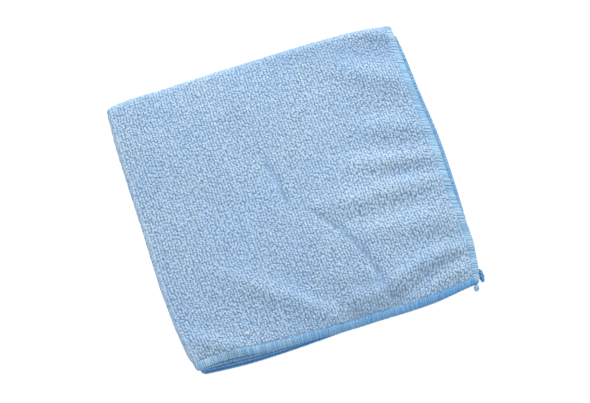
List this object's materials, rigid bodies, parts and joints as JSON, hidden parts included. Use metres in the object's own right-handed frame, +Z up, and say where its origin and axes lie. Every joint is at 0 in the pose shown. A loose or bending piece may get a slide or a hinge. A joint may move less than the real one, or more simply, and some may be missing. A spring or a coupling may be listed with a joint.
{
  "type": "folded microfibre cloth",
  "caption": "Square microfibre terry cleaning cloth, folded in half and in half again, lying flat with gathered open hems.",
  "frame": {"origin": "on the table under the middle of the folded square's box, level with the flat underside", "axes": "+X runs right along the open near hems, +Y runs away from them to the second fold, +Z is up out of the table"},
  "size_m": [0.2029, 0.2013, 0.017],
  "materials": {
    "terry": "looped polyester microfibre terry, light blue, matt with a soft sheen",
    "hem_thread": "textured polyester overlock thread, light blue"
  },
  "bodies": {
    "root": {"cloth": "terry", "thread_tail_upper": "hem_thread", "thread_tail_lower": "hem_thread"}
  },
  "joints": []
}
